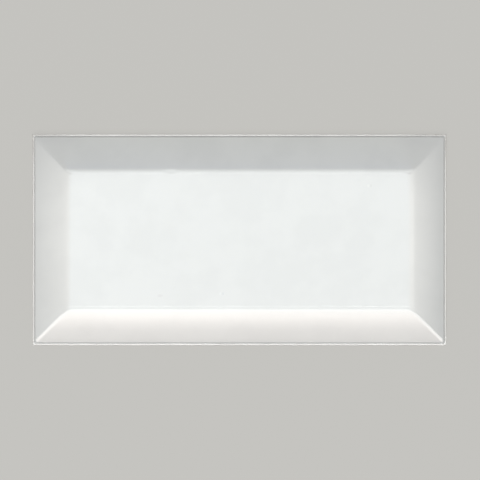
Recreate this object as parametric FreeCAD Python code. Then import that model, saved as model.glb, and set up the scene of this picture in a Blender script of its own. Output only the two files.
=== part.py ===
import FreeCAD, Part
import math
import os

# A bevelled wall tile: dust-pressed, glazed on its face and fired as one piece.
# X runs along the length, Y along the width and +Z out of the glazed face.
# The origin is the middle of the back, on the plane that beds on the wall.
# Lengths are in millimetres and angles in degrees.

# Overall sizes
tile_length = 150.0
tile_width = 76.5
tile_thickness = 8.0      # back to the flat field
edge_thickness = 4.3      # back to the narrow rim round the foot of the bevels

# Rim, and the short riser from the rim up to the foot of the bevels
corner_radius = 0.6       # upright corners of the tile
arris_radius = 0.35       # rounding between the rim and the side walls
rim_width = 0.6
riser_run = 0.6
riser_height = 1.0

# Bevels, mitred at the corners
bevel_width = 13.5        # foot of the bevel to the edge of the flat field
ridge_radius = 20.0       # rounding that turns the field down into the bevel
ridge_tilt = 11.0         # slope of the bevel where it leaves that rounding
mitre_radius_foot = 1.0   # rounding of the mitres, seen from above, at the foot
mitre_radius_ridge = 1.1  # the same at the field's corners
loft_outlines = 4         # outlines that carry each curved stretch of the section

# Side walls: an upright band below the rim, then a taper that frees the tile from its die
side_band = 2.0
side_taper = 0.35
back_chamfer = 0.3

# Keying pockets pressed into the back, in rows and columns with raised ribs between
pocket_side = 7.4         # at the mouth
pocket_clip = 1.0         # cut across each of its corners, along both sides
pocket_rib = 2.2
pocket_depth = 0.6
pocket_draft = 25.0       # lean of the pocket walls
pocket_margin = 7.0       # least border between the pockets and the edge of the back

# Worked out from the sizes above
foot_inset = rim_width + riser_run
foot_height = edge_thickness + riser_height
band_bottom = edge_thickness - side_band
back_inset = side_taper + back_chamfer
pocket_pitch = pocket_side + pocket_rib


def outline(inset, height, radius):
    """The tile's plan outline, moved in from its edges by inset: a rectangle with round corners."""
    reach_x = tile_length / 2 - inset - radius
    reach_y = tile_width / 2 - inset - radius
    up = FreeCAD.Vector(0, 0, 1)
    centres = [(reach_x, reach_y), (-reach_x, reach_y), (-reach_x, -reach_y), (reach_x, -reach_y)]
    arcs = []
    for quarter, (x, y) in enumerate(centres):
        circle = Part.Circle(FreeCAD.Vector(x, y, height), up, radius)
        start = quarter * math.pi / 2
        arcs.append(circle.toShape(start, start + math.pi / 2))
    edges = []
    for arc, following in zip(arcs, arcs[1:] + arcs[:1]):
        edges.append(arc)
        edges.append(Part.makeLine(arc.Vertexes[-1].Point, following.Vertexes[0].Point))
    return Part.Wire(edges)


def mitre_radius(inset):
    """Plan rounding of the mitres, which grows evenly from the bevel's foot to the field's corners."""
    share = (inset - foot_inset) / bevel_width
    return mitre_radius_foot + (mitre_radius_ridge - mitre_radius_foot) * share


def arc_stretch(start, tilt_start, tilt_end, chord):
    """Outlines up one circular stretch of the section, from start, an (inset, height), to chord away."""
    turn = math.radians(tilt_end - tilt_start)
    outlines = []
    for step in range(loft_outlines):
        share = step / (loft_outlines - 1)
        reach = chord * math.sin(share * turn / 2) / math.sin(turn / 2)
        heading = math.radians(tilt_start) + share * turn / 2
        inset = start[0] + reach * math.cos(heading)
        height = start[1] + reach * math.sin(heading)
        outlines.append(outline(inset, height, mitre_radius(inset)))
    return outlines


def side_walls():
    """The base slab: chamfered back, tapered sides, upright band and rounded rim."""
    back = outline(back_inset, 0, corner_radius)
    above_chamfer = outline(side_taper, back_chamfer, corner_radius)
    band_start = outline(0, band_bottom, corner_radius)
    chamfer = Part.makeLoft([back, above_chamfer], True, True)
    taper = Part.makeLoft([above_chamfer, band_start], True, True)
    band = Part.Face(band_start).extrude(FreeCAD.Vector(0, 0, side_band))
    rim_edges = [edge for edge in band.Edges if edge.BoundBox.ZMin > band_bottom + side_band / 2]
    band = band.makeFillet(arris_radius, rim_edges)
    return chamfer.fuse([taper, band])


def riser():
    """The short slope from the rim to the foot of the bevels."""
    rim_inside = outline(rim_width, edge_thickness, mitre_radius_foot)
    bevel_foot = outline(foot_inset, foot_height, mitre_radius_foot)
    return Part.makeLoft([rim_inside, bevel_foot], True, True)


def bevels():
    """The four bevels and the rounded ridge: two tangent arcs in section, carried round the tile."""
    ridge = math.radians(ridge_tilt)
    ridge_run = ridge_radius * math.sin(ridge)
    ridge_drop = ridge_radius * (1 - math.cos(ridge))
    bevel_run = bevel_width - ridge_run
    bevel_rise = tile_thickness - foot_height - ridge_drop
    foot_tilt = 2 * math.degrees(math.atan2(bevel_rise, bevel_run)) - ridge_tilt
    print(f"bevel slope: {foot_tilt:.1f} degrees at the foot, {ridge_tilt:.1f} at the ridge")

    foot = (foot_inset, foot_height)
    below_ridge = (foot_inset + bevel_run, foot_height + bevel_rise)
    slope = arc_stretch(foot, foot_tilt, ridge_tilt, math.hypot(bevel_run, bevel_rise))
    rounding = arc_stretch(below_ridge, ridge_tilt, 0, math.hypot(ridge_run, ridge_drop))
    return [Part.makeLoft(slope, True, False), Part.makeLoft(rounding, True, False)]


def pockets_along(length):
    """How many pockets fit along a side of the back, with the least border kept at both ends."""
    free = length - 2 * back_inset - 2 * pocket_margin
    return int((free + pocket_rib) // pocket_pitch)


def clipped_square(side, clip, height):
    """A flat wire about the Z axis: a square with its corners cut across."""
    half = side / 2
    short = half - clip
    corners = [(half, -short), (half, short), (short, half), (-short, half)]
    corners += [(-x, -y) for x, y in corners]
    return Part.makePolygon([FreeCAD.Vector(x, y, height) for x, y in corners + corners[:1]])


def keying_pockets():
    """The shallow drafted pockets of the back, centred on the tile."""
    floor_side = pocket_side - 2 * pocket_depth * math.tan(math.radians(pocket_draft))
    mouth = clipped_square(pocket_side, pocket_clip, 0)
    floor = clipped_square(floor_side, pocket_clip, pocket_depth)
    pocket = Part.makeLoft([mouth, floor], True, True)
    columns = pockets_along(tile_length)
    rows = pockets_along(tile_width)
    print(f"keying pockets: {columns} by {rows}")
    pockets = []
    for column in range(columns):
        for row in range(rows):
            x = (column - (columns - 1) / 2) * pocket_pitch
            y = (row - (rows - 1) / 2) * pocket_pitch
            pockets.append(pocket.translated(FreeCAD.Vector(x, y, 0)))
    return Part.makeCompound(pockets)


def bevelled_tile():
    """The whole tile as one solid."""
    body = side_walls().fuse([riser(), *bevels()]).removeSplitter()
    return body.cut(keying_pockets()).Solids[0]


tile = bevelled_tile()
os.makedirs("parts", exist_ok=True)
tile.exportStep("parts/bevelled_tile.step")
box = tile.optimalBoundingBox()
print(f"bevelled_tile: valid {tile.isValid()}, {len(tile.Faces)} faces, {tile.Volume / 1000:.2f} cm3")
print(f"overall: {box.XLength:.3f} x {box.YLength:.3f} x {box.ZLength:.3f} mm")
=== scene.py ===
import math
import bpy
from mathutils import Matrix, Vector, noise


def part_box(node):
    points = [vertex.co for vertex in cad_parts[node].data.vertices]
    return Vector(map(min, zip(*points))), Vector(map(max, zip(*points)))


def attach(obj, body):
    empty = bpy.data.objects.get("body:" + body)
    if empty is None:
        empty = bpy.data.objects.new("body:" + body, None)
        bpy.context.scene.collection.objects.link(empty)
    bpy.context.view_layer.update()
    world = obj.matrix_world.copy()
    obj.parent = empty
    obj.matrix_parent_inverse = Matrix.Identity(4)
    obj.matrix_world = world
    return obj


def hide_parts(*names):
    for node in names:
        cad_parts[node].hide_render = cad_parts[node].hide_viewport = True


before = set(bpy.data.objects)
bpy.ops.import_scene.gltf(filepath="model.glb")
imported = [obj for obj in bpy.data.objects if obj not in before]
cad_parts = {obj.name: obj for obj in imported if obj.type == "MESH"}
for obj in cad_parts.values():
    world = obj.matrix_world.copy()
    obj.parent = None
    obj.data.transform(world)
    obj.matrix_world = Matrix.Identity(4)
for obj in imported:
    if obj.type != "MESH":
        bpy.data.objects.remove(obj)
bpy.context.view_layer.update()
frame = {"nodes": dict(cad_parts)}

mm = 0.001               # sizes are in millimetres where no note says metres, and Blender works in metres
print("frame loaded:", ", ".join(frame["nodes"]))


# The tile's own mesh: the pressed shape with the soft corners that glaze leaves

nodeLow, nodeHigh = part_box("bevelled_tile")

tileShape = {
    "length": (nodeHigh.x - nodeLow.x) / mm,
    "width": (nodeHigh.y - nodeLow.y) / mm,
    "thickness": (nodeHigh.z - nodeLow.z) / mm,
    "edgeThickness": 4.3,       # back to the rim
    "cornerRadius": 0.3,        # upright corners
    "arrisRadius": 0.16,        # rim to side wall
    "rimWidth": 0.6,
    "riserRun": 0.6,            # the short slope from the rim to the foot of the bevels
    "riserHeight": 1.0,
    "bevelWidth": 13.5,
    "ridgeRadius": 20.0,
    "ridgeTilt": 11.0,          # degrees
    "creaseRadius": 0.6,        # the crease's corners, seen from above
    "mitreRadiusFoot": 1.0,
    "mitreRadiusRidge": 1.1,
    "sideBand": 2.0,
    "sideTaper": 0.35,
    "backChamfer": 0.3,
    "backRounding": 0.12,       # softened edges of the bare body
    "bandRounding": 0.5,
    "creaseRounding": 0.05,     # glaze pooled between rim and riser
    "footRounding": 0.3,
    "flatHold": 0.03,           # keeps the flats beside a rounding flat
    "glazeSag": 0.012,          # depth of the glaze's long waves
    "glazeWave": 16.0,          # their length
}

ridgeNick = {                   # small dent on the upper ridge, left of the middle
    "x": -24.4,
    "y": 24.5,
    "spreadX": 0.8,
    "spreadY": 0.5,
    "depth": 0.045,
}

backPattern = {
    "columns": 14,
    "rows": 6,
    "side": 7.4,                # pocket mouth
    "rib": 2.2,
    "depth": 0.6,
    "draft": 25.0,              # degrees
    "cornerRadius": 1.0,
    "mouthRounding": 0.12,
    "floorRounding": 0.25,
}
pocketPitch = backPattern["side"] + backPattern["rib"]

meshSteps = {
    "perPocket": 8,             # segments along each side of a pocket's cell
    "halfCorner": 5,            # segments from a side to the middle of its corner
    "rounding": 5,              # segments across a small rounding
    "bevel": 24,
    "ridge": 14,
    "pocketHalfCorner": 2,
    "pocketRounding": 3,
}


def between(first, last, share):
    return first + (last - first) * share


def roundedPath(corners, steps, hold=0):
    # corners holds (inset, height, rounding); every inner corner is drawn as an arc
    path = [corners[0][:2]]
    for before, corner, after in zip(corners, corners[1:], corners[2:]):
        here = Vector(corner[:2])
        inward = (here - Vector(before[:2])).normalized()
        onward = (Vector(after[:2]) - here).normalized()
        turn = inward.angle_signed(onward)
        tangent = abs(corner[2] * math.tan(turn / 2))
        side = Vector((inward.y, -inward.x)) * (1 if turn > 0 else -1)
        centre = here - inward * tangent + side * corner[2]
        spoke = -side            # from the arc's centre to its start
        if hold:
            path.append(tuple(here - inward * (tangent + hold)))
        for step in range(steps + 1):
            swing = turn * step / steps
            cosine, sine = math.cos(swing), math.sin(swing)
            turned = Vector((spoke.x * cosine + spoke.y * sine, spoke.y * cosine - spoke.x * sine))
            path.append(tuple(centre + turned * corner[2]))
        if hold:
            path.append(tuple(here + onward * (tangent + hold)))
    return path


def curvedStretch(start, tiltStart, tiltEnd, chord, steps):
    # points after start along a circular stretch that turns between two slopes
    turn = math.radians(tiltEnd - tiltStart)
    points = []
    for step in range(1, steps + 1):
        share = step / steps
        reach = chord * math.sin(share * turn / 2) / math.sin(turn / 2)
        heading = math.radians(tiltStart) + share * turn / 2
        points.append((start[0] + reach * math.cos(heading), start[1] + reach * math.sin(heading)))
    return points


def tileSection(shape, steps):
    # (inset, height) from the back's edge, up the side wall and over the bevel to the flat field
    footInset = shape["rimWidth"] + shape["riserRun"]
    footHeight = shape["edgeThickness"] + shape["riserHeight"]
    ridge = math.radians(shape["ridgeTilt"])
    ridgeRun = shape["ridgeRadius"] * math.sin(ridge)
    ridgeDrop = shape["ridgeRadius"] * (1 - math.cos(ridge))
    bevelRun = shape["bevelWidth"] - ridgeRun
    bevelRise = shape["thickness"] - footHeight - ridgeDrop
    footTilt = 2 * math.degrees(math.atan2(bevelRise, bevelRun)) - shape["ridgeTilt"]
    foot = (footInset, footHeight)
    belowRidge = (footInset + bevelRun, footHeight + bevelRise)
    bevelChord = math.hypot(bevelRun, bevelRise)
    ridgeChord = math.hypot(ridgeRun, ridgeDrop)
    slope = curvedStretch(foot, footTilt, shape["ridgeTilt"], bevelChord, steps["bevel"])
    rounding = curvedStretch(belowRidge, shape["ridgeTilt"], 0, ridgeChord, steps["ridge"])

    backInset = shape["sideTaper"] + shape["backChamfer"]
    corners = [
        (backInset + shape["backRounding"] * 2, 0, 0),
        (backInset, 0, shape["backRounding"]),
        (shape["sideTaper"], shape["backChamfer"], shape["backRounding"]),
        (0, shape["edgeThickness"] - shape["sideBand"], shape["bandRounding"]),
        (0, shape["edgeThickness"], shape["arrisRadius"]),
        (shape["rimWidth"], shape["edgeThickness"], shape["creaseRounding"]),
        (*foot, shape["footRounding"]),
        (*slope[0], 0),
    ]
    return roundedPath(corners, steps["rounding"], shape["flatHold"]) + slope + rounding


def planRadius(inset, height, shape):
    # how round the outline's corners are at one place of the section
    arris, rim = shape["arrisRadius"], shape["rimWidth"]
    footInset = rim + shape["riserRun"]
    if height < shape["edgeThickness"] - arris:
        return shape["cornerRadius"]
    if inset < arris:
        return shape["cornerRadius"] - inset
    if inset < rim:
        share = (inset - arris) / (rim - arris)
        return between(shape["cornerRadius"] - arris, shape["creaseRadius"], share)
    if inset < footInset:
        share = (inset - rim) / shape["riserRun"]
        return between(shape["creaseRadius"], shape["mitreRadiusFoot"], share)
    share = (inset - footInset) / shape["bevelWidth"]
    return between(shape["mitreRadiusFoot"], shape["mitreRadiusRidge"], share)


def roundedRing(halfX, halfY, radius, height, stepsX, stepsY, halfCorner):
    # points round a rectangle with round corners, from the middle of one corner to the same place again
    ring = []
    sides = [(halfX, halfY, stepsX), (halfY, halfX, stepsY)] * 2
    for quarter, (along, across, steps) in enumerate(sides):
        reach, depth = along - radius, across - radius      # to the middles of the corners' arcs
        straight = steps - 2 * halfCorner
        for step in range(steps):
            if step < halfCorner:
                angle = math.radians(225 + 45 * step / halfCorner)
                x, y = -reach + radius * math.cos(angle), -depth + radius * math.sin(angle)
            elif step <= halfCorner + straight:
                x, y = between(-reach, reach, (step - halfCorner) / straight), -across
            else:
                angle = math.radians(270 + 45 * (step - halfCorner - straight) / halfCorner)
                x, y = reach + radius * math.cos(angle), -depth + radius * math.sin(angle)
            for turn in range(quarter):
                x, y = -y, x
            ring.append((x, y, height))
    return ring


def evenRing(halfX, halfY, stepsX, stepsY):
    # evenly spaced points round a plain rectangle in the plane of the back, from its first corner
    alongX = [between(-halfX, halfX, step / stepsX) for step in range(stepsX)]
    alongY = [between(-halfY, halfY, step / stepsY) for step in range(stepsY)]
    ring = [(x, -halfY, 0) for x in alongX] + [(halfX, y, 0) for y in alongY]
    ring += [(-x, halfY, 0) for x in alongX] + [(-halfX, -y, 0) for y in alongY]
    return ring


def patchInside(ring, stepsX, stepsY):
    # a grid that fills a ring, by blending its four sides
    bottom = ring[:stepsX + 1]
    right = ring[stepsX:stepsX + stepsY + 1]
    top = ring[stepsX + stepsY:2 * stepsX + stepsY + 1][::-1]
    left = (ring[2 * stepsX + stepsY:] + ring[:1])[::-1]
    grid = []
    for row in range(stepsY + 1):
        v = row / stepsY
        line = []
        for column in range(stepsX + 1):
            u = column / stepsX
            point = []
            for axis in range(3):
                sides = (1 - v) * bottom[column][axis] + v * top[column][axis]
                sides += (1 - u) * left[row][axis] + u * right[row][axis]
                corners = (1 - u) * (1 - v) * bottom[0][axis] + u * (1 - v) * bottom[-1][axis]
                corners += (1 - u) * v * top[0][axis] + u * v * top[-1][axis]
                point.append(sides - corners)
            line.append(tuple(point))
        grid.append(line)
    return grid


class WeldedMesh:
    # collects faces and joins the points that fall on the same place
    digits = 4                   # decimals of a millimetre in which such points agree

    def __init__(self):
        self.places = []
        self.faces = []
        self.known = {}

    def point(self, place):
        key = tuple(round(value, self.digits) for value in place)
        if key not in self.known:
            self.known[key] = len(self.places)
            self.places.append(place)
        return self.known[key]

    def face(self, places):
        indices = [self.point(place) for place in places]
        if len(set(indices)) > 2:
            self.faces.append(indices)

    def band(self, lower, upper):
        # quads between two rings, seen from outside with lower nearer the back
        count = len(lower)
        for index in range(count):
            following = (index + 1) % count
            self.face([lower[index], lower[following], upper[following], upper[index]])

    def grid(self, lines, faceUp):
        for near, far in zip(lines, lines[1:]):
            for index in range(len(near) - 1):
                quad = [near[index], near[index + 1], far[index + 1], far[index]]
                self.face(quad if faceUp else quad[::-1])


def pocketProfile(pattern, steps):
    # (inset, height) from a rib over the pocket's mouth, up its leaning wall and onto its floor
    lean = pattern["depth"] * math.tan(math.radians(pattern["draft"]))
    corners = [
        (-pattern["mouthRounding"] * 2, 0, 0),
        (0, 0, pattern["mouthRounding"]),
        (lean, pattern["depth"], pattern["floorRounding"]),
        (lean + pattern["floorRounding"] * 2, pattern["depth"], 0),
    ]
    return roundedPath(corners, steps["pocketRounding"])


def addPocketCells(welded, pattern, steps):
    # the back's keying pockets, each in a square cell that shares its edge with its neighbours
    count = steps["perPocket"]
    rings = [evenRing(pocketPitch / 2, pocketPitch / 2, count, count)]
    for inset, height in pocketProfile(pattern, steps):
        half = pattern["side"] / 2 - inset
        radius = pattern["cornerRadius"] - inset
        rings.append(roundedRing(half, half, radius, height, count, count, steps["pocketHalfCorner"]))
    for column in range(pattern["columns"]):
        for row in range(pattern["rows"]):
            x = (column - (pattern["columns"] - 1) / 2) * pocketPitch
            y = (row - (pattern["rows"] - 1) / 2) * pocketPitch
            moved = [[(px + x, py + y, pz) for px, py, pz in ring] for ring in rings]
            for outer, inner in zip(moved, moved[1:]):
                welded.band(inner, outer)
            welded.grid(patchInside(moved[-1], count, count), False)


def glazeSettled(place, shape, nick):
    # the glaze's long shallow waves and one nick, only ever below the pressed shape
    x, y, z = place
    sag = 0.5 + 0.5 * noise.noise(Vector(place) / shape["glazeWave"])
    cover = min(1, max(0, z - shape["edgeThickness"] - shape["riserHeight"]))
    reach = ((x - nick["x"]) / nick["spreadX"]) ** 2 + ((y - nick["y"]) / nick["spreadY"]) ** 2
    dent = math.exp(-reach / 2) * nick["depth"]
    return (x, y, z - cover * (sag * shape["glazeSag"] + dent))


def buildTile():
    stepsX = backPattern["columns"] * meshSteps["perPocket"]
    stepsY = backPattern["rows"] * meshSteps["perPocket"]
    rings = []
    for inset, height in tileSection(tileShape, meshSteps):
        radius = planRadius(inset, height, tileShape)
        halfX = tileShape["length"] / 2 - inset
        halfY = tileShape["width"] / 2 - inset
        rings.append(roundedRing(halfX, halfY, radius, height, stepsX, stepsY, meshSteps["halfCorner"]))
    cellBlockX = backPattern["columns"] * pocketPitch / 2
    cellBlockY = backPattern["rows"] * pocketPitch / 2

    welded = WeldedMesh()
    for lower, upper in zip(rings, rings[1:]):
        welded.band(lower, upper)
    welded.grid(patchInside(rings[-1], stepsX, stepsY), True)
    welded.band(evenRing(cellBlockX, cellBlockY, stepsX, stepsY), rings[0])
    addPocketCells(welded, backPattern, meshSteps)

    places = [glazeSettled(place, tileShape, ridgeNick) for place in welded.places]
    mesh = bpy.data.meshes.new("bevelled_tile_glazed")
    mesh.from_pydata([[value * mm for value in place] for place in places], [], welded.faces)
    mesh.validate()
    mesh.shade_smooth()
    tile = bpy.data.objects.new("bevelled_tile_glazed", mesh)
    bpy.context.scene.collection.objects.link(tile)
    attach(tile, "root")
    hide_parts("bevelled_tile")
    triangles = sum(len(polygon.vertices) - 2 for polygon in mesh.polygons)
    print("tile built:", len(mesh.vertices), "points,", triangles, "triangles")
    return tile


# Node helpers

def addNode(tree, kind, place, **settings):
    node = tree.nodes.new(kind)
    node.location = place
    for name, value in settings.items():
        setattr(node, name, value)
    return node


def plug(tree, source, target):
    tree.links.new(source, target)


def addNoise(tree, place, pattern, coordinates):
    # pattern is (scale, detail)
    texture = addNode(tree, "ShaderNodeTexNoise", place)
    texture.inputs["Scale"].default_value, texture.inputs["Detail"].default_value = pattern
    plug(tree, coordinates, texture.inputs["Vector"])
    return texture.outputs["Fac"]


def addMix(tree, place, share, first, second, kind="RGBA"):
    # first and second are each a colour or a socket
    mix = addNode(tree, "ShaderNodeMix", place, data_type=kind)
    plug(tree, share, mix.inputs["Factor"])
    for name, source in (("A", first), ("B", second)):
        if isinstance(source, tuple):
            mix.inputs[name].default_value = source
        else:
            plug(tree, source, mix.inputs[name])
    return mix.outputs["Result"]


def addShaderMix(tree, place, share, first, second):
    mix = addNode(tree, "ShaderNodeMixShader", place)
    for socket, source in zip(mix.inputs, (share, first, second)):
        plug(tree, source, socket)
    return mix.outputs[0]


def addMath(tree, place, operation, first, second=None, third=None):
    # each value is a number or a socket
    maths = addNode(tree, "ShaderNodeMath", place, operation=operation)
    for index, value in enumerate((first, second, third)):
        if isinstance(value, (int, float)):
            maths.inputs[index].default_value = value
        elif value is not None:
            plug(tree, value, maths.inputs[index])
    return maths.outputs[0]


def addFade(tree, place, value, start, end, clear=0, full=1):
    # clear up to start, full from end and smooth between them
    fade = addNode(tree, "ShaderNodeMapRange", place, interpolation_type="SMOOTHSTEP")
    plug(tree, value, fade.inputs["Value"])
    for name, number in (("From Min", start), ("From Max", end), ("To Min", clear), ("To Max", full)):
        fade.inputs[name].default_value = number
    return fade.outputs["Result"]


# Glaze over pressed biscuit

glazeLook = {
    "glaze": (0.828, 0.843, 0.834, 1),
    "glazeCloud": (0.798, 0.813, 0.805, 1),
    "clouds": (75, 3),           # noise scale to a metre, and its detail, as in the other patterns here
    "cloudFade": (0.38, 0.66),   # where a cloud starts in that noise, and where it is full
    "thinGlazeAndPaintedShade": (0.64, 0.625, 0.60, 1),    # warmer on the rim, where the glaze draws back, and darker there as painted shade that dims the rim's lit line
    "thinRimShadeInset": (0.45, 0.65),   # thin glaze and painted shade from the tile's edge to the first, and full glaze from the second
    "thinCoat": 0.7,             # share of the gloss coat left where the glaze is thin
    "glazeLine": 3.0,            # height above the back where the glaze ends on the side walls
    "glazeLineRagged": 1.8,
    "glazeLineBlur": 0.15,
    "raggedness": (120, 3),
    "markCore": 0.4,             # share of a mark's half size that has its full colour
    "glazeRoughness": 0.06,
    "coatRoughness": 0.03,
    "peel": (260, 1),            # the glaze's faint unevenness
    "peelDepth": 0.002,
    "biscuit": (0.78, 0.72, 0.63, 1),
    "biscuitDark": (0.68, 0.61, 0.52, 1),
    "biscuitRoughness": 0.8,
    "grain": (1500, 4),          # the bare body's
    "grainDepth": 0.05,
}

# Small marks on the field, middle and half size in millimetres and the colour there: a dark speck, and
# two lighter-and-darker pairs that paint the lit and shaded sides of tiny bumps as painted highlight and
# painted shade
specksAndPaintedBumpShading = [
    {"x": -28.5, "y": -20.1, "halfX": 1.3, "halfY": 0.7, "colour": (0.78, 0.785, 0.78, 1)},
    # a painted highlight and, beside it, painted shade: the lit and shaded sides of one tiny bump
    {"x": 46.3, "y": 19.4, "halfX": 0.55, "halfY": 0.75, "colour": (0.87, 0.885, 0.865, 1)},
    {"x": 47.3, "y": 19.4, "halfX": 0.4, "halfY": 0.75, "colour": (0.765, 0.78, 0.77, 1)},
    # a painted highlight and, beside it, painted shade: the lit and shaded sides of one tiny bump
    {"x": -6.9, "y": -19.4, "halfX": 0.4, "halfY": 0.75, "colour": (0.865, 0.885, 0.885, 1)},
    {"x": -5.9, "y": -19.4, "halfX": 0.4, "halfY": 0.75, "colour": (0.76, 0.78, 0.79, 1)},
]


def glazeCover(tree, look, coordinates, height):
    # 1 where the glaze covers the body, ending in a ragged line down the side walls
    ragged = addNoise(tree, (-1300, 100), look["raggedness"], coordinates)
    shifted = addMath(tree, (-1100, 0), "MULTIPLY_ADD", ragged, look["glazeLineRagged"] * mm, height)
    line = look["glazeLine"] + look["glazeLineRagged"] / 2
    return addFade(tree, (-900, 0), shifted, line * mm, (line + look["glazeLineBlur"]) * mm)


def thinRimAndPaintedShadeMask(tree, look, split):
    # 1 near the tile's outline and down its side walls, 0 on the rest of the face: where the glaze is
    # thin and the rim is darkened as painted shade
    acrossX = addMath(tree, (-1300, -500), "ABSOLUTE", split.outputs["X"])
    acrossY = addMath(tree, (-1300, -700), "ABSOLUTE", split.outputs["Y"])
    insideX = addMath(tree, (-1100, -500), "SUBTRACT", tileShape["length"] / 2 * mm, acrossX)
    insideY = addMath(tree, (-1100, -700), "SUBTRACT", tileShape["width"] / 2 * mm, acrossY)
    inside = addMath(tree, (-900, -600), "MINIMUM", insideX, insideY)
    start, end = look["thinRimShadeInset"]
    return addFade(tree, (-700, -600), inside, start * mm, end * mm, 1, 0)


def addSpeckOrPaintedShadeOval(tree, place, mark, core, coordinates, colour):
    # one soft-edged oval over the glaze's colour: a speck, or one half of a painted highlight and shade
    # pair
    x, y = place
    centred = addNode(tree, "ShaderNodeVectorMath", (x, y), operation="SUBTRACT")
    centred.inputs[1].default_value = (mark["x"] * mm, mark["y"] * mm, tileShape["thickness"] * mm)
    plug(tree, coordinates, centred.inputs[0])
    scaled = addNode(tree, "ShaderNodeVectorMath", (x + 180, y), operation="MULTIPLY")
    scaled.inputs[1].default_value = (1 / (mark["halfX"] * mm), 1 / (mark["halfY"] * mm), 1 / mm)
    plug(tree, centred.outputs[0], scaled.inputs[0])
    reach = addNode(tree, "ShaderNodeVectorMath", (x + 360, y), operation="LENGTH")
    plug(tree, scaled.outputs[0], reach.inputs[0])
    cover = addFade(tree, (x + 540, y), reach.outputs["Value"], 1.0, core)
    return addMix(tree, (x + 720, y), cover, colour, mark["colour"])


def glazeColour(tree, look, coordinates, thinRimAndShade):
    # cloudy white with a dark speck and painted highlight and shade pairs of tiny bumps, and warmer and
    # darker on the rim: thin glaze and painted shade
    clouds = addNoise(tree, (-1100, 300), look["clouds"], coordinates)
    cloudy = addFade(tree, (-900, 300), clouds, *look["cloudFade"])
    colour = addMix(tree, (-700, 300), cloudy, look["glaze"], look["glazeCloud"])
    # the rim's colour: the warmth of thin glaze, and painted shade that dims its lit line
    colour = addMix(tree, (-500, 300), thinRimAndShade, colour, look["thinGlazeAndPaintedShade"])
    for number, mark in enumerate(specksAndPaintedBumpShading):
        place = (-1300, 900 + 200 * number)
        colour = addSpeckOrPaintedShadeOval(tree, place, mark, look["markCore"], coordinates, colour)
    return colour


def surfaceRelief(tree, look, coordinates, cover, thinRimAndShade, grain):
    # the unevenness of the full glaze, none where it is thin, and the bare body's grain
    peel = addNoise(tree, (-1300, -900), look["peel"], coordinates)
    thick = addMath(tree, (-1300, -1200), "SUBTRACT", 1, thinRimAndShade)
    peel = addMath(tree, (-1100, -900), "MULTIPLY", peel, thick)
    peelHeight = addMath(tree, (-900, -900), "MULTIPLY", peel, look["peelDepth"])
    grainHeight = addMath(tree, (-900, -1100), "MULTIPLY", grain, look["grainDepth"])
    relief = addMix(tree, (-700, -900), cover, grainHeight, peelHeight, "FLOAT")
    bump = addNode(tree, "ShaderNodeBump", (-500, -900))
    bump.inputs["Distance"].default_value = mm
    plug(tree, relief, bump.inputs["Height"])
    return bump.outputs["Normal"]


def makeGlazedMaterial(look):
    material = bpy.data.materials.new("white_glaze_on_biscuit")
    material.use_nodes = True
    tree = material.node_tree
    shader = tree.nodes["Principled BSDF"]
    shader.inputs["Coat Roughness"].default_value = look["coatRoughness"]
    coordinates = addNode(tree, "ShaderNodeTexCoord", (-1700, 0)).outputs["Object"]
    split = addNode(tree, "ShaderNodeSeparateXYZ", (-1500, -300))
    plug(tree, coordinates, split.inputs[0])
    cover = glazeCover(tree, look, coordinates, split.outputs["Z"])
    thinRimAndShade = thinRimAndPaintedShadeMask(tree, look, split)

    glaze = glazeColour(tree, look, coordinates, thinRimAndShade)
    grain = addNoise(tree, (-1100, 600), look["grain"], coordinates)
    biscuit = addMix(tree, (-700, 600), grain, look["biscuit"], look["biscuitDark"])
    plug(tree, addMix(tree, (-300, 400), cover, biscuit, glaze), shader.inputs["Base Color"])

    rough = addFade(tree, (-300, 100), cover, 0, 1, look["biscuitRoughness"], look["glazeRoughness"])
    plug(tree, rough, shader.inputs["Roughness"])
    gloss = addFade(tree, (-500, -150), thinRimAndShade, 0, 1, 1, look["thinCoat"])
    gloss = addMath(tree, (-300, -150), "MULTIPLY", cover, gloss)
    plug(tree, gloss, shader.inputs["Coat Weight"])
    relief = surfaceRelief(tree, look, coordinates, cover, thinRimAndShade, grain)
    plug(tree, relief, shader.inputs["Normal"])
    print("glaze and biscuit made")
    return material


# Floor and background

stageLook = {
    "floorSize": 4.0,            # metres
    "floorDrop": 0.05,           # below the tile's back
    "floor": (0.74, 0.73, 0.70, 1),
    "background": (0.563, 0.557, 0.532, 1),
    "floorGlow": 0.88,           # share of the floor that shows its plain colour to the camera
    "worldLight": 0.34,          # neutral light on the tile from all round
}


def seenDirectly(tree, place):
    # 1 for camera, mirror and see-through rays, so that gloss shows the background too
    x, y = place
    rays = addNode(tree, "ShaderNodeLightPath", (x, y)).outputs
    seen = addMath(tree, (x + 200, y), "MAXIMUM", rays["Is Camera Ray"], rays["Is Glossy Ray"])
    return addMath(tree, (x + 400, y), "MAXIMUM", seen, rays["Is Transmission Ray"])


def makeFloor(look):
    half = look["floorSize"] / 2
    height = -look["floorDrop"] * mm
    corners = [(-half, -half, height), (half, -half, height), (half, half, height), (-half, half, height)]
    mesh = bpy.data.meshes.new("floor")
    mesh.from_pydata(corners, [], [(0, 1, 2, 3)])
    floor = bpy.data.objects.new("floor", mesh)
    bpy.context.scene.collection.objects.link(floor)
    material = bpy.data.materials.new("pale_floor")
    material.use_nodes = True
    tree = material.node_tree
    shader = tree.nodes["Principled BSDF"]
    shader.inputs["Base Color"].default_value = look["floor"]
    shader.inputs["Roughness"].default_value = 1.0
    shader.inputs["Specular IOR Level"].default_value = 0.0
    glow = addNode(tree, "ShaderNodeEmission", (0, -200))
    glow.inputs["Color"].default_value = look["background"]
    share = addMath(tree, (0, 200), "MULTIPLY", seenDirectly(tree, (-600, 200)), look["floorGlow"])
    surface = addShaderMix(tree, (300, 0), share, shader.outputs[0], glow.outputs[0])
    plug(tree, surface, tree.nodes["Material Output"].inputs["Surface"])
    mesh.materials.append(material)


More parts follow.
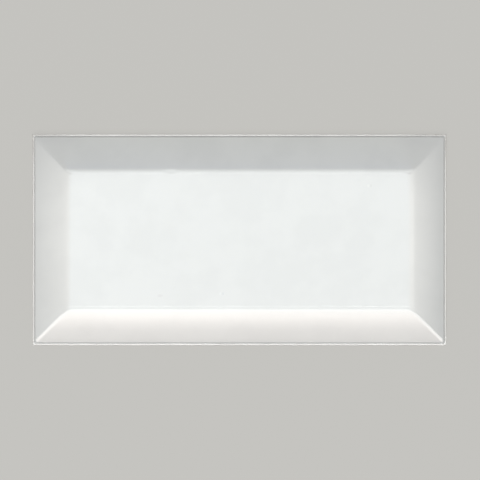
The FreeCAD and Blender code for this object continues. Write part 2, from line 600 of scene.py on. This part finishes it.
def makeWorld(look):
    world = bpy.data.worlds.new("pale_surround")
    bpy.context.scene.world = world
    world.use_nodes = True
    tree = world.node_tree
    lighting = tree.nodes["Background"]
    lighting.inputs["Color"].default_value = (1, 1, 1, 1)
    lighting.inputs["Strength"].default_value = look["worldLight"]
    shown = addNode(tree, "ShaderNodeBackground", (0, -200))
    shown.inputs["Color"].default_value = look["background"]
    seen = seenDirectly(tree, (-900, -200))
    surround = addShaderMix(tree, (300, 0), seen, lighting.outputs[0], shown.outputs[0])
    plug(tree, surround, tree.nodes["World Output"].inputs["Surface"])


# Lamps hang level, about a metre above the tile. Each is drawn by how bright it is across X and along Y:
# (place in metres, share of its radiance). Its tints are its colours at the near and the far end of Y.
# All but the key show only as reflections in the glaze. The strips are there for the rim's flats.

lampHeight = 1.0                 # metres, and so is each lamp's lift above it

lamps = {
    "key": {
        "lift": 0.04, "radiance": 6.6, "tints": [(1, 0.998, 0.99)] * 2, "shines": "diffuse",
        "across": [(-0.35, 1), (0.15, 1)],
        "along": [(-0.55, 1), (-0.10, 1)],
    },
    "overhead_panel": {
        "lift": 0.03, "radiance": 4.5, "tints": [(0.95, 0.995, 0.99)] * 2, "shines": "glossy",
        "across": [(-0.34, 0), (-0.2, 1), (0, 0.955), (0.2, 0.94), (0.36, 0)],
        "along": [(-0.31, 0), (-0.21, 0.86), (0, 0.912), (0.05, 0.95), (0.064, 0.95), (0.075, 0.9),
                  (0.085, 0.9), (0.105, 0)],
    },
    "rear_panel": {
        "lift": 0.025, "radiance": 4.1, "tints": [(0.95, 1, 1)] * 2, "shines": "glossy",
        "across": [(-0.222, 0), (-0.21, 0.88), (-0.12, 1), (0.1, 1), (0.204, 0.9), (0.216, 0)],
        "along": [(0.085, 0), (0.105, 0.9), (0.17, 0.74), (0.2, 0.58), (0.22, 0.47), (0.26, 0.26),
                  (0.295, 0.06), (0.32, 0)],
    },
    "rear_glow": {
        "lift": 0.045, "radiance": 0.5, "tints": [(0.6, 1, 2.0), (1, 1, 0.5)], "shines": "glossy",
        "across": [(-0.222, 0), (-0.21, 1), (0.204, 0.95), (0.216, 0)],
        "along": [(0.3, 0.48), (0.42, 0.48), (0.8, 0.6), (0.86, 0)],
    },
    "corner_panels": {
        "lift": 0.035, "radiance": 2.8, "tints": [(0.98, 1, 0.99)] * 2, "shines": "glossy",
        "across": [(-0.37, 0), (-0.3, 0.85), (-0.222, 1), (-0.21, 0),
                   (0.204, 0), (0.216, 1), (0.3, 0.85), (0.37, 0)],
        "along": [(0.115, 0), (0.13, 1), (0.18, 0.85), (0.25, 0)],
    },
    "side_panels": {
        "lift": 0.02, "radiance": 3.9, "tints": [(1, 0.985, 0.93)] * 2, "shines": "glossy",
        "across": [(-1.1, 0), (-0.9, 0.31), (-0.65, 0.63), (-0.43, 0.73), (-0.34, 0.88), (-0.2, 0),
                   (0.2, 0), (0.36, 1), (0.42, 0.94), (0.52, 0.68), (0.65, 0.58), (0.9, 0.11), (1.0, 0)],
        "along": [(-0.31, 0), (-0.21, 0.62), (-0.12, 0.78), (-0.083, 0.87), (-0.04, 0.97), (0, 1),
                  (0.05, 0.98), (0.12, 0.33), (0.19, 0)],
    },
    "front_panel": {
        "lift": 0.01, "radiance": 5.75, "tints": [(1, 0.78, 0.67), (1, 1, 0.97)], "shines": "glossy",
        "across": [(-1.0, 0), (-0.8, 0.55), (-0.55, 0.85), (-0.3, 1), (0.1, 0.93), (0.55, 0.8),
                   (0.8, 0.55), (1.0, 0)],
        "along": [(-1.0, 0), (-0.76, 0.3), (-0.64, 0.46), (-0.56, 0.72), (-0.51, 0.96),
                  (-0.47, 0.98), (-0.29, 1), (-0.245, 0.6), (-0.205, 0.05), (-0.19, 0)],
    },
    "rear_strip": {
        "lift": 0.015, "radiance": 3.3, "tints": [(1, 0.99, 0.96)] * 2, "shines": "glossy",
        "across": [(-0.24, 0.6), (-0.222, 0.6), (-0.21, 0), (-0.203, 0), (-0.195, 0.88),
                   (0.188, 0.88), (0.196, 0), (0.204, 0), (0.216, 0.6), (0.24, 0.6)],
        "along": [(0.1125, 1), (0.1225, 1)],
    },
    "front_strip": {
        "lift": 0.005, "radiance": 3.9, "tints": [(1, 0.99, 0.96)] * 2, "shines": "glossy",
        "across": [(-0.26, 1), (0.26, 1)],
        "along": [(-0.1225, 1), (-0.1125, 1)],
    },
}


def brightnessRamp(tree, source, stops, place, tints=((1, 1, 1), (1, 1, 1))):
    # tints are the light's colour at the first stop and at the last
    ramp = addNode(tree, "ShaderNodeValToRGB", place)
    elements = ramp.color_ramp.elements
    first, last = stops[0][0], stops[-1][0]
    shares = [(stop - first) / (last - first) for stop, strength in stops]
    for share in shares[1:-1]:
        elements.new(share)
    for element, share, (stop, strength) in zip(elements, shares, stops):
        element.position = share
        element.color = [strength * between(near, far, share) for near, far in zip(*tints)] + [1]
    plug(tree, source, ramp.inputs["Fac"])
    return ramp.outputs["Color"]


def addLamp(name, facts):
    left, right = facts["across"][0][0], facts["across"][-1][0]
    near, far = facts["along"][0][0], facts["along"][-1][0]
    light = bpy.data.lights.new(name, "AREA")
    light.shape = "RECTANGLE"
    light.size = right - left
    light.size_y = far - near
    light.energy = facts["radiance"] * math.pi * light.size * light.size_y
    light.use_nodes = True
    tree = light.node_tree
    spot = addNode(tree, "ShaderNodeNewGeometry", (-900, 0))
    split = addNode(tree, "ShaderNodeSeparateXYZ", (-700, 0))
    plug(tree, spot.outputs["Parametric"], split.inputs[0])
    across = brightnessRamp(tree, split.outputs["X"], facts["across"], (-500, 150))
    along = brightnessRamp(tree, split.outputs["Y"], facts["along"], (-500, -150), facts["tints"])
    product = addNode(tree, "ShaderNodeVectorMath", (-200, 0), operation="MULTIPLY")
    plug(tree, across, product.inputs[0])
    plug(tree, along, product.inputs[1])
    plug(tree, product.outputs[0], tree.nodes["Emission"].inputs["Color"])
    lamp = bpy.data.objects.new(name, light)
    lamp.location = ((left + right) / 2, (near + far) / 2, lampHeight + facts["lift"])
    lamp.visible_diffuse = facts["shines"] == "diffuse"
    lamp.visible_glossy = facts["shines"] == "glossy"
    lamp.visible_camera = False
    bpy.context.scene.collection.objects.link(lamp)


# Camera straight above the tile, with the photograph's framing

photoView = {
    "framePixels": 480,
    "pixelsPerMm": 2.76,         # at the rim
    "distance": 480.0,           # from the rim
    "middle": (0.2, -0.08),      # what the camera looks straight down on
    "sensor": 36.0,
    "nearest": 10.0,             # what is nearer or farther doesn't show
    "farthest": 20000.0,
}


def addCamera(view):
    camera = bpy.data.cameras.new("photo_camera")
    camera.sensor_width = view["sensor"]
    frameWidth = view["framePixels"] / view["pixelsPerMm"]
    camera.lens = view["sensor"] * view["distance"] / frameWidth
    camera.clip_start = view["nearest"] * mm
    camera.clip_end = view["farthest"] * mm
    eye = bpy.data.objects.new("photo_camera", camera)
    x, y = view["middle"]
    eye.location = (x * mm, y * mm, (tileShape["edgeThickness"] + view["distance"]) * mm)
    bpy.context.scene.collection.objects.link(eye)
    bpy.context.scene.camera = eye
    print("camera placed, lens", round(camera.lens, 1))


tile = buildTile()
tile.data.materials.append(makeGlazedMaterial(glazeLook))
makeFloor(stageLook)
makeWorld(stageLook)
for lampName, lampFacts in lamps.items():
    addLamp(lampName, lampFacts)
print("stage and lamps set")
addCamera(photoView)
bpy.context.scene.view_settings.view_transform = "Standard"
